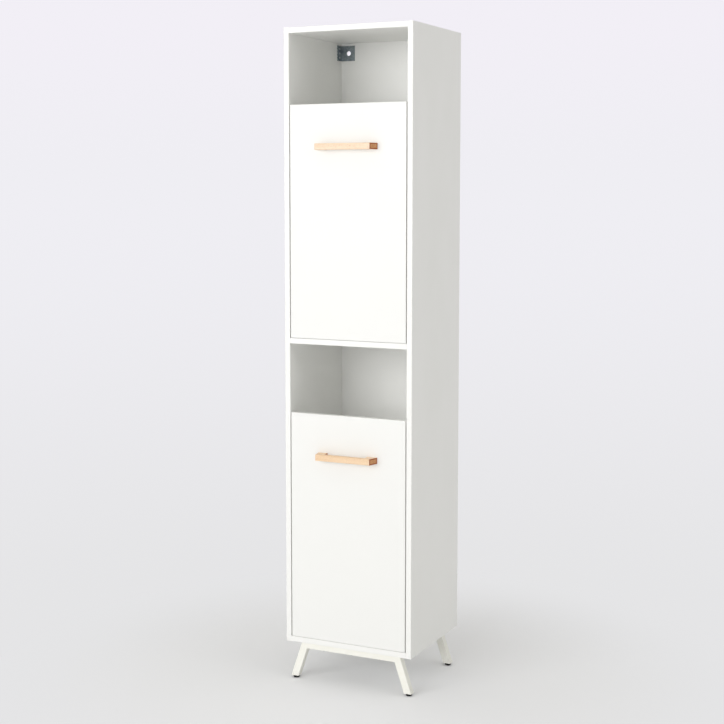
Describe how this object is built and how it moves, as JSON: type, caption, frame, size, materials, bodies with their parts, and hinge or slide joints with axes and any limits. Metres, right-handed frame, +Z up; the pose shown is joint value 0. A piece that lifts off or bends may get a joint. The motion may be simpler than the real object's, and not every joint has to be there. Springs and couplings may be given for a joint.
{
  "type": "tall bathroom cabinet",
  "caption": "Narrow tall cabinet on splayed legs: two open niches, each above an inset hinged door with a D handle, shelves inside and wall fixing brackets.",
  "frame": {"origin": "on the floor, midway between the sides and midway between the handles' fronts and the case's rear", "axes": "+X to the right seen from the front, +Y from the front to the back, +Z up"},
  "size_m": [0.4, 0.384, 1.897],
  "materials": {
    "white_board": "white foil on particle board, satin",
    "beech": "clear lacquered beech",
    "dowel_wood": "raw beech",
    "white_steel": "white powder coat",
    "black_plastic": "matte moulded plastic",
    "clear_plastic": "soft white plastic",
    "zinc": "zinc-plated steel"
  },
  "bodies": {
    "case": {"back_panel": "white_board", "back_panel_nails": "zinc", "bottom_panel": "white_board", "cam_bolts": "zinc", "cam_locks": "zinc", "dowels": "dowel_wood", "front_leg_frame": "white_steel", "left_side": "white_board", "left_wall_bracket": "zinc", "leg_frame_screws": "zinc", "leg_frame_washers": "zinc", "leg_glides": "black_plastic", "leg_plugs": "black_plastic", "lower_arm_pins": "zinc", "lower_arm_screws": "zinc", "lower_door_stops": "clear_plastic", "lower_hinge_arms": "zinc", "lower_hinge_plates": "zinc", "lower_loose_shelf": "white_board", "lower_niche_shelf": "white_board", "lower_plate_screws": "zinc", "lower_shelf_pins": "zinc", "middle_shelf": "white_board", "rear_leg_frame": "white_steel", "right_side": "white_board", "right_wall_bracket": "zinc", "top_panel": "white_board", "upper_arm_pins": "zinc", "upper_arm_screws": "zinc", "upper_door_stops": "clear_plastic", "upper_hinge_arms": "zinc", "upper_hinge_plates": "zinc", "upper_loose_shelf": "white_board", "upper_niche_shelf": "white_board", "upper_plate_screws": "zinc", "upper_shelf_pins": "zinc", "wall_bracket_screws": "zinc"},
    "lower_door": {"lower_door": "white_board", "lower_handle": "beech", "lower_handle_screws": "zinc", "lower_hinge_cups": "zinc", "lower_cup_pins": "zinc", "lower_cup_screws": "zinc"},
    "lower_outer_links": {"lower_outer_links": "zinc"},
    "lower_inner_links": {"lower_inner_links": "zinc"},
    "upper_door": {"upper_door": "white_board", "upper_handle": "beech", "upper_handle_screws": "zinc", "upper_hinge_cups": "zinc", "upper_cup_pins": "zinc", "upper_cup_screws": "zinc"},
    "upper_outer_links": {"upper_outer_links": "zinc"},
    "upper_inner_links": {"upper_inner_links": "zinc"}
  },
  "joints": [
    {"name": "lower_outer_link_turn", "type": "hinge", "parent": "case", "child": "lower_outer_links", "pos_m": [-0.15073, -0.13309, 0.46615], "axis": [0, 0, 1], "range_deg": [0, 11.31]},
    {"name": "lower_door_swing", "type": "hinge", "parent": "lower_outer_links", "child": "lower_door", "pos_m": [-0.17137, -0.14988, 0.46615], "axis": [0, 0, -1], "range_deg": [0, 106.3]},
    {"name": "lower_inner_link_turn", "type": "hinge", "parent": "case", "child": "lower_inner_links", "pos_m": [-0.14295, -0.12503, 0.46615], "axis": [0, 0, 1], "range_deg": [0, 24.28]},
    {"name": "upper_outer_link_turn", "type": "hinge", "parent": "case", "child": "upper_outer_links", "pos_m": [-0.15073, -0.13309, 1.34815], "axis": [0, 0, 1], "range_deg": [0, 11.31]},
    {"name": "upper_door_swing", "type": "hinge", "parent": "upper_outer_links", "child": "upper_door", "pos_m": [-0.17137, -0.14988, 1.34815], "axis": [0, 0, -1], "range_deg": [0, 106.3]},
    {"name": "upper_inner_link_turn", "type": "hinge", "parent": "case", "child": "upper_inner_links", "pos_m": [-0.14295, -0.12503, 1.34815], "axis": [0, 0, 1], "range_deg": [0, 24.28]}
  ],
  "couplings": [
    {"joint": "lower_outer_link_turn", "follows": "lower_door_swing", "ratio": 0.10634},
    {"joint": "lower_inner_link_turn", "follows": "lower_door_swing", "ratio": 0.22833},
    {"joint": "upper_outer_link_turn", "follows": "upper_door_swing", "ratio": 0.10634},
    {"joint": "upper_inner_link_turn", "follows": "upper_door_swing", "ratio": 0.22833}
  ]
}
